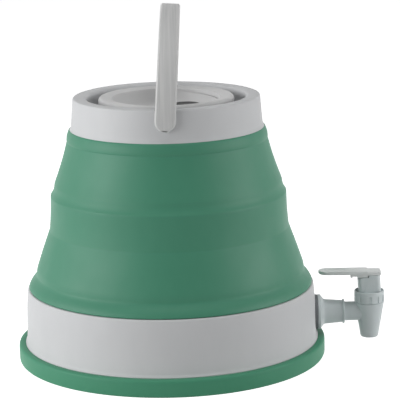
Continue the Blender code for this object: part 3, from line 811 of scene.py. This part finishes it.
lidSettings = {
    "centre": (0, 210.8),  # of the dish's floor
    "dish": [
        (36.0, 210.8),
        (40.5, 211.2),
        (43.4, 212.6),
        (44.9, 214.8),
        (45.7, 217.8),
        (46.0, 221.0),
    ],
    "ring": [(46.1, 224.2, 0.4)],  # the edge of the dish
    "creaseRadius": 46.5,
    "creaseWidth": 0.9,
    "creasePlace": (1.2, 0, 222.7),
    "creaseSlope": 4.6,  # degrees, lower towards the tap, so that it runs out on the other side
    "crown": [
        (47.3, 224.4),
        (50.5, 225.0),
        (54.3, 225.4),
        (55.9, 225.0),
        (57.0, 223.8),
        (57.4, 222.0),
    ],
    "skirt": [
        (57.5, 221.5),
        (57.5, 213.6, 0.6),
        (54.3, 213.6, 0.4),
        (54.3, 224.35),
        (50.4, 224.35),
        (48.9, 222.0, 0.5),
        (47.4, 213.2, 1.5),
        (44.8, 209.4, 1.5),
        (40.0, 208.6, 1.0),
        (0, 208.6),
    ],
    "spacing": 0.8,
    "ventAt": 17.0,
    "ventHole": 5.8,
    "ventCut": (206, 215),  # heights between which the hole is cut
}


def makeLid():
    s = lidSettings
    outline = [Vector(s["centre"])]
    outline += smoothOutline(s["dish"], s["spacing"])
    outline += roundedOutline([s["dish"][-1], *s["ring"], s["crown"][0]])[1:-1]
    outline += smoothOutline(s["crown"], s["spacing"])
    outline += roundedOutline([s["crown"][-1], *s["skirt"]])[1:]
    lid = turnedPiece("screwLid", outline)
    combine(lid, rod("hole", s["ventHole"], *s["ventCut"], "Z", (s["ventAt"], 0)), "DIFFERENCE")
    crease = rod("crease", s["creaseRadius"], 0, s["creaseWidth"], "Z", (0, 0), roundSteps)
    placePiece(crease, place=s["creasePlace"], turn=(0, s["creaseSlope"], 0))
    combine(lid, crease, "DIFFERENCE")
    finishPiece(lid, lidPolypropylene, "lid_plastic", "lid_cap")
    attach(lid, "lid")


makeLid()

plugSettings = {
    "corners": [
        (0, 217.5),
        (7.6, 217.5, 0.8),
        (8.8, 218.1, 0.6),
        (11.5, 218.1, 1.3),
        (11.5, 211.0, 0.4),
        (5.5, 211.0),
        (5.5, 206.9, 0.8),
        (0, 206.9),
    ],
}


def makePlug():
    plug = turnedPiece("ventPlug", roundedOutline(plugSettings["corners"]), smallSteps)
    placePiece(plug, place=(lidSettings["ventAt"], 0, 0))
    # The plug's near-black finish holds painted shade
    finishPiece(plug, shadeDarkenedPlugRubber, "dark_rubber", "vent_plug")
    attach(plug, "vent")


makePlug()

bailSettings = {
    "radius": 83.3,  # from the pivot to the middle of the strip
    "straight": 1.0,  # from the pivot up to where the arc starts
    "thickness": 3.2,
    "width": 17.3,
    "topWidth": 16.4,
    "arcRows": 72,
    "tipRows": 10,
    "tipFlat": 14,  # degrees of the tip's round that are flat instead
    "chamfer": 1.3,
    "chamferAbove": 60,  # degrees that an edge turns by at least
    "edge": 0.15,
    "edgeAbove": 30,  # the same for the finer rounding
    "stubRadius": 4.0,
    "stubInner": 72.0,
    "headRadius": 5.2,
    "headInner": 70.7,
    "headOverlap": 0.1,  # with the stub
}


def bailRows():
    # The strip's middle line from the front tip over the top to the rear tip, with its half width
    s = bailSettings
    half, topHalf = s["width"] / 2, s["topWidth"] / 2
    tip = []
    for i in range(s["tipRows"] + 1):
        angle = math.radians(s["tipFlat"] + (90 - s["tipFlat"]) * i / s["tipRows"])
        tip.append((-s["radius"], -half * math.cos(angle), half * math.sin(angle)))
    arc = []
    for i in range(s["arcRows"] + 1):
        angle = math.pi * i / s["arcRows"]
        height = s["straight"] + s["radius"] * math.sin(angle)
        width = half + (topHalf - half) * math.sin(angle)
        arc.append((-s["radius"] * math.cos(angle), height, width))
    return tip + arc + [(s["radius"], height, width) for _, height, width in reversed(tip)]


def makeBail():
    # The ribbon's edge is drawn and extruded to its middle, then mirrored, thickened and chamfered
    s = bailSettings
    bail = drawLine("carryingBail", [(-width, y, z) for y, z, width in bailRows()])
    bpy.ops.mesh.extrude_region_move()
    bpy.ops.transform.resize(value=(0, 1, 1), center_override=(0, 0, 0))
    bpy.ops.object.mode_set(mode="OBJECT")
    applyModifier(bail, "MIRROR", use_clip=True, merge_threshold=mergeDistance)
    bpy.ops.object.mode_set(mode="EDIT")
    closeMesh()
    applyModifier(bail, "SOLIDIFY", thickness=s["thickness"] * mm, offset=0, use_even_offset=True)
    roundEdges(bail, s["chamfer"], segments=1, above=s["chamferAbove"], clamp=False)
    roundEdges(bail, s["edge"], above=s["edgeAbove"])
    stub = rod("stub", s["stubRadius"], s["stubInner"], s["radius"], "Y", (0, 0))
    headEnd = s["stubInner"] + s["headOverlap"]
    head = rod("head", s["headRadius"], s["headInner"], headEnd, "Y", (0, 0))
    combine(stub, head, "UNION")
    combine(bail, mirroredCopy(stub), "UNION")
    combine(bail, stub, "UNION")
    placePiece(bail, place=(0, 0, collarSettings["pivotHeight"]), turn=(0, bailLean, 0))
    finishPiece(bail, bailPolypropylene, "bail_plastic", "handle")
    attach(bail, "bail")


makeBail()

tapSettings = {
    "axis": 171.04,  # where the spout's axis stands on X
    "gasket": [(9.7, 122.94), (14.9, 122.94, 0.5), (14.9, 126.0, 0.5), (9.7, 126.0)],
    "pipe": [
        (0, 171.0),
        (8.6, 171.0),
        (8.6, 163.5, 1.2),
        (8.25, 160.5, 1.2),
        (8.25, 149.24, 0.5),
        (10.6, 149.24, 0.35),
        (10.6, 147.74, 0.35),
        (9.5, 147.74, 0.4),
        (10.8, 131.6, 1.2),
        (14.6, 128.9, 0.4),
        (15.05, 128.5, 0.2),
        (15.05, 126.15, 0.5),
        (9.4, 126.15),
        (9.4, 109.94, 0.6),
        (0, 109.94),
    ],
    "spout": [
        (0, 47.9),
        (10.8, 47.9, 0.4),
        (10.8, 41.8),
        (12.7, 41.8, 0.5),
        (12.45, 39.9, 0.4),
        (7.6, 10.7, 1.9),
        (0, 10.7),
    ],
    "chamber": [
        (0, 52.0),
        (6.6, 52.0),
        (6.6, 23.8),
        (4.4, 23.8),
        (4.4, 11.4),
        (4.9, 10.6),
        (4.9, 5.0),
        (0, 5.0),
    ],
    "inletRadius": 5.5,
    "inletFrom": 100,
}


def makeTapBody():
    s = tapSettings
    height = bandSettings["tapHeight"]
    gasket = turnedPiece("tapOuterGasket", roundedOutline(s["gasket"]), smallSteps)
    lieAlongX(gasket, height)
    finishPiece(gasket, gasketRubber, "gasket_rubber", "tap_outer_gasket")
    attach(gasket, "base")
    body = turnedPiece("tapBody", roundedOutline(s["spout"]), smallSteps)
    placePiece(body, place=(s["axis"], 0, 0))
    pipe = turnedPiece("pipe", roundedOutline(s["pipe"]), smallSteps)
    lieAlongX(pipe, height)
    combine(body, pipe, "UNION")
    chamber = turnedPiece("chamber", roundedOutline(s["chamber"]), smallSteps)
    placePiece(chamber, place=(s["axis"], 0, 0))
    combine(body, chamber, "DIFFERENCE")
    inlet = rod("inlet", s["inletRadius"], s["inletFrom"], s["axis"], "X", (0, height))
    combine(body, inlet, "DIFFERENCE")
    finishPiece(body, waxyAcetal, "tap_plastic", "tap_body")
    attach(body, "base")


makeTapBody()

nutSettings = {
    "corners": [
        (11.9, 52.0, 0.3),
        (12.98, 52.0, 0.9),
        (12.98, 48.6),  # the top of the grooves
        (12.98, 42.5),
        (12.7, 42.1),
        (11.1, 42.1),
        (11.1, 49.8),
        (10.2, 49.8),
        (10.2, 50.4, 0.2),
        (11.7, 50.5, 0.3),
    ],
    "grooves": 12,
    "grooveStart": -100,  # degrees about the axis, where one of them starts
    "grooveShare": 0.5,
    "grooveDepth": 0.7,
    "grooveEdge": 0.25,
    "outsideMargin": 0.3,  # a face whose middle is no deeper than this is on the outside
}


def makeNut():
    s = nutSettings
    nut = turnedPiece("ribbedNut", roundedOutline(s["corners"]), smallSteps)
    radius, top = s["corners"][2]  # where the grooves end
    pitch = 360 / s["grooves"]

    def inGroove(centre, normal):
        turn = math.degrees(math.atan2(centre.y, centre.x)) - s["grooveStart"]
        share = turn % pitch / pitch
        outside = Vector((centre.x, centre.y)).length > radius - s["outsideMargin"]
        side = abs(normal.z) < sideFacing
        return outside and side and centre.z < top and share < s["grooveShare"]

    pickFaces(nut, inGroove)
    bpy.ops.mesh.inset(thickness=s["grooveEdge"] * mm)
    bpy.ops.transform.shrink_fatten(value=-s["grooveDepth"] * mm)
    bpy.ops.object.mode_set(mode="OBJECT")
    placePiece(nut, place=(tapSettings["axis"], 0, 0))
    finishPiece(nut, waxyAcetal, "tap_plastic", "tap_bonnet_nut")
    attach(nut, "base")


makeNut()

stalkSettings = {
    "corners": [
        (0, 50.8),
        (9.6, 50.8),
        (9.6, 49.6),
        (10.7, 49.6),
        (10.7, 48.2),
        (6.3, 48.2),
        (6.3, 43.9),
        (0, 43.9),
    ],
    "bore": [(0, 70.0), (2.5, 70.0), (2.5, 59.8), (4.9, 59.8), (4.9, 40.0), (0, 40.0)],
    "boxLow": (-9.4, -8.4, 50.6),  # from the tap's axis
    "boxHigh": (9.8, 8.4, 66.4),
    "boxLean": -0.8,  # of its top, towards the band
    "boxRound": 3.4,
    "boxRoundSteps": 6,
    "cutHeight": 64.5,
    "cutTo": 170.14,
    "slopeFrom": 165.64,
    "slope": 16.5,  # degrees, a little more than the lever's swing
    "cutHalf": 14,  # of the shapes that cut the step and the slope, as are the next two
    "cutRise": 8,
    "cutLength": 20,
    "pivot": (165.94, 67.0),  # of the lever
    "earHalfLength": 1.8,
    "earHalfWidth": 4.6,
    "earRound": 1.7,
    "earRoot": 3,  # how far it reaches down into the box
    "pinRadius": 1.0,
    "pinCutHalf": 8,
    "edge": 0.3,
}


def makeStalk():
    s = stalkSettings
    axis = tapSettings["axis"]
    stalk = turnedPiece("tapStalk", roundedOutline(s["corners"]), smallSteps)
    box = bar("box", s["boxLow"], s["boxHigh"])
    pickFaces(box, lambda centre, normal: normal.z > topFacing)
    bpy.ops.transform.translate(value=(s["boxLean"] * mm, 0, 0))
    bpy.ops.object.mode_set(mode="OBJECT")
    pickUprightEdges(box, lambda end: True)
    bevelPicked(s["boxRound"], s["boxRoundSteps"])
    combine(stalk, box, "UNION")
    placePiece(stalk, place=(axis, 0, 0))
    # The step and the slope leave room for the lever's swing
    half, rise, level = s["cutHalf"], s["cutRise"], s["cutHeight"]
    step = bar("step", (axis - half, -half, level), (s["cutTo"], half, level + rise))
    combine(stalk, step, "DIFFERENCE")
    slope = bar("slope", (-s["cutLength"], -half, 0), (0, half, rise))
    placePiece(slope, place=(s["slopeFrom"], 0, level), turn=(0, -s["slope"], 0))
    combine(stalk, slope, "DIFFERENCE")
    roundEdges(stalk, s["edge"])
    x, z = s["pivot"]
    length, width = s["earHalfLength"], s["earHalfWidth"]
    ear = bar("ear", (x - length, -width, level - s["earRoot"]), (x + length, width, z))
    combine(stalk, ear, "UNION")
    combine(stalk, rod("earTop", s["earRound"], -width, width, "Y", (x, z)), "UNION")
    bore = turnedPiece("bore", roundedOutline(s["bore"]), smallSteps)
    placePiece(bore, place=(axis, 0, 0))
    combine(stalk, bore, "DIFFERENCE")
    half = s["pinCutHalf"]
    combine(stalk, rod("pinHole", s["pinRadius"], -half, half, "Y", (x, z)), "DIFFERENCE")
    finishPiece(stalk, waxyAcetal, "tap_plastic", "tap_neck")
    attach(stalk, "base")


makeStalk()

leverSettings = {
    "tip": 38.7,  # lengths and heights are from the pivot, where no other place is named
    "heel": 3.6,
    "width": 16.0,
    "bottom": 0.25,
    "top": 3.15,
    "tipRound": 7.9,
    "tipRoundSteps": 14,
    "tipUnderside": 1.3,
    "undersideSteps": 4,
    "dishFrom": 12.5,
    "dishEdge": 1.5,
    "dishDepth": 0.45,
    "cheekFront": 11.6,
    "cheekWidth": (4.9, 7.6),
    "cheekBottom": -2.3,
    "joint": 1,  # how far below the lever's top the cheeks end
    "toothLength": 1.8,
    "recessTo": 4.6,
    "recessDepth": 0.9,
    "cutReach": 1,
    "plateFrom": 2,  # how far the plate reaches into the heel
    "plateBottom": -0.4,
    "plateTop": 2.3,
    "plateHalf": 8.0,
    "plateReach": 9.8,  # from the tap's axis
    "plateRound": 1.8,
    "plateRoundSteps": 5,
    "pocketHalf": 2.8,
    "pocketTop": 2.0,
    "pinHalf": 7.35,
    "edge": 0.4,
    "edgeAbove": 50,
}


def makeLever():
    s = leverSettings
    x, z = stalkSettings["pivot"]
    # The bar, with its round tip and its dish
    half = s["width"] / 2
    tipAt, heelAt = x - s["tip"], x + s["heel"]
    bottom, top = z + s["bottom"], z + s["top"]
    lever = bar("thumbLever", (tipAt, -half, bottom), (heelAt, half, top))
    pickUprightEdges(lever, lambda end: end.x < tipAt + pickMargin)
    bpy.ops.mesh.bevel(offset=s["tipRound"] * mm, segments=s["tipRoundSteps"], affect="EDGES")
    bpy.ops.mesh.select_all(action="SELECT")
    dishFrom = x - s["dishFrom"]
    bpy.ops.mesh.bisect(plane_co=(dishFrom * mm, 0, 0), plane_no=(1, 0, 0))
    bpy.ops.object.mode_set(mode="OBJECT")
    pickFaces(lever, lambda centre, normal: normal.z > topFacing and centre.x < dishFrom)
    bpy.ops.mesh.inset(thickness=s["dishEdge"] * mm)
    bpy.ops.mesh.inset(thickness=s["dishEdge"] * mm, depth=-s["dishDepth"] * mm)
    bpy.ops.object.mode_set(mode="OBJECT")
    roundTo = tipAt + s["tipRound"] + pickMargin
    pickEdges(lever, lambda a, b: max(a.z, b.z) < bottom + pickMargin and max(a.x, b.x) < roundTo)
    bevelPicked(s["tipUnderside"], s["undersideSteps"])

    # The cheeks, recessed below
    inner, outer = s["cheekWidth"]
    reach = s["cutReach"]
    front, bottom = x - s["cheekFront"], z + s["cheekBottom"]
    cheek = bar("cheek", (front, inner, bottom), (heelAt, outer, top - s["joint"]))
    low = (front + s["toothLength"], inner - reach, bottom - reach)
    high = (x - s["recessTo"], outer + reach, bottom + s["recessDepth"])
    combine(cheek, bar("recess", low, high), "DIFFERENCE")
    combine(lever, mirroredCopy(cheek), "UNION")
    combine(lever, cheek, "UNION")

    # The plate over the stalk
    half = s["plateHalf"]
    end = tapSettings["axis"] + s["plateReach"]
    low = (heelAt - s["plateFrom"], -half, z + s["plateBottom"])
    plate = bar("plate", low, (end, half, z + s["plateTop"]))
    pickUprightEdges(plate, lambda place: place.x > end - pickMargin)
    bevelPicked(s["plateRound"], s["plateRoundSteps"])
    combine(lever, plate, "UNION")

    # The pocket for the stalk's ear, and the pin's hole
    half = s["pocketHalf"]
    pocket = bar("pocket", (x - half, -inner, z - reach), (x + half, inner, z + s["pocketTop"]))
    combine(lever, pocket, "DIFFERENCE")
    roundEdges(lever, s["edge"], above=s["edgeAbove"])
    half = s["pinHalf"]
    hole = rod("pinHole", stalkSettings["pinRadius"], -half, half, "Y", (x, z))
    combine(lever, hole, "DIFFERENCE")
    # The lever's paler acetal is painted light against the shaded stalk
    finishPiece(lever, leverPaintedLightAcetal, "tap_plastic", "tap_lever")
    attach(lever, "lever")


makeLever()

floorSettings = {
    "size": 14000,
    "colour": "#e6e6e6",
    "roughness": 0.9,
    "specular": 0,
    "lift": 0.94,  # glow that only the camera and reflections see
}


def backdropAmount(tree):
    # 1 where the camera or a reflection looks at the backdrop, else 0
    path = addNode(tree, "ShaderNodeLightPath", {})
    direct = addNode(
        tree,
        "ShaderNodeMath",
        {"operation": "MAXIMUM"},
        {0: path.outputs["Is Camera Ray"], 1: path.outputs["Is Glossy Ray"]},
    )
    seen = addNode(
        tree,
        "ShaderNodeMath",
        {"operation": "MAXIMUM"},
        {0: direct.outputs[0], 1: path.outputs["Is Transmission Ray"]},
    )
    return seen.outputs[0]


def makeFloor():
    s = floorSettings
    bpy.ops.object.select_all(action="DESELECT")
    bpy.ops.mesh.primitive_plane_add(size=s["size"] * mm)
    floor = bpy.context.object
    floor.name = "studioFloor"
    material = bpy.data.materials.new("paleFloor")
    material.use_nodes = True
    tree = material.node_tree
    shader = tree.nodes["Principled BSDF"]
    shader.inputs["Base Color"].default_value = hexColour(s["colour"])
    shader.inputs["Roughness"].default_value = s["roughness"]
    shader.inputs["Specular IOR Level"].default_value = s["specular"]
    amount = addNode(tree, "ShaderNodeMath", {"operation": "MULTIPLY"}, {0: backdropAmount(tree)})
    amount.inputs[1].default_value = s["lift"]
    glow = addNode(tree, "ShaderNodeEmission", {}, {"Strength": amount.outputs[0]})
    total = addNode(
        tree, "ShaderNodeAddShader", {}, {0: shader.outputs["BSDF"], 1: glow.outputs["Emission"]}
    )
    output = tree.nodes["Material Output"]
    tree.links.new(total.outputs["Shader"], output.inputs["Surface"])
    floor.data.materials.append(material)


makeFloor()

studioSettings = {
    "worldFill": 0.0,  # light from all round
    # side is in degrees from the camera's direction, to the right, and rise from level
    "softboxes": [
        {"name": "leftSoftbox", "side": -80, "rise": 12, "power": 17.6},
        {"name": "frontLeftSoftbox", "side": -60, "rise": 12, "power": 19.6},
        {"name": "rightSoftbox", "side": 80, "rise": 12, "power": 23.2},
        {"name": "topSoftbox", "side": 0, "rise": 85, "power": 13.6},
    ],
    "boxSize": (1600, 1400),
    "distance": 2000,
    "aim": (0, 0, 130),
}


def makeStudio():
    s = studioSettings
    world = bpy.data.worlds.new("whiteStudio")
    world.use_nodes = True
    tree = world.node_tree
    strength = addNode(
        tree,
        "ShaderNodeMapRange",
        {"To Min": s["worldFill"], "To Max": 1.0},
        {"Value": backdropAmount(tree)},
    )
    background = tree.nodes["Background"]
    background.inputs["Color"].default_value = (1, 1, 1, 1)
    tree.links.new(strength.outputs["Result"], background.inputs["Strength"])
    bpy.context.scene.world = world
    for box in s["softboxes"]:
        side, rise = math.radians(box["side"]), math.radians(box["rise"])
        level = math.cos(rise)
        away = Vector((math.sin(side) * level, -math.cos(side) * level, math.sin(rise)))
        place = (Vector(s["aim"]) + away * s["distance"]) * mm
        turn = away.to_track_quat("Z", "Y").to_euler()
        bpy.ops.object.light_add(type="AREA", location=place, rotation=turn)
        lamp = bpy.context.object
        lamp.name = box["name"]
        lamp.data.shape = "RECTANGLE"
        lamp.data.size, lamp.data.size_y = (edge * mm for edge in s["boxSize"])
        lamp.data.energy = box["power"]


makeStudio()

cameraSettings = {
    "lens": 176.68,
    "sensor": 36,
    "distance": 1677.33,
    "elevation": 12.06,
    "roll": -1.229,
    "target": (26.678, 0, 134.325),
}


def makeCamera():
    s = cameraSettings
    rise = math.radians(s["elevation"])
    place = Vector(s["target"]) + s["distance"] * Vector((0, -math.cos(rise), math.sin(rise)))
    bpy.ops.object.camera_add(location=place * mm, rotation=(math.pi / 2 - rise, 0, 0))
    camera = bpy.context.object
    camera.rotation_euler.rotate_axis("Z", math.radians(s["roll"]))
    camera.data.lens = s["lens"]
    camera.data.sensor_width = s["sensor"]
    bpy.context.scene.camera = camera


makeCamera()
bpy.context.scene.view_settings.view_transform = "Standard"
print("studio and camera ready")
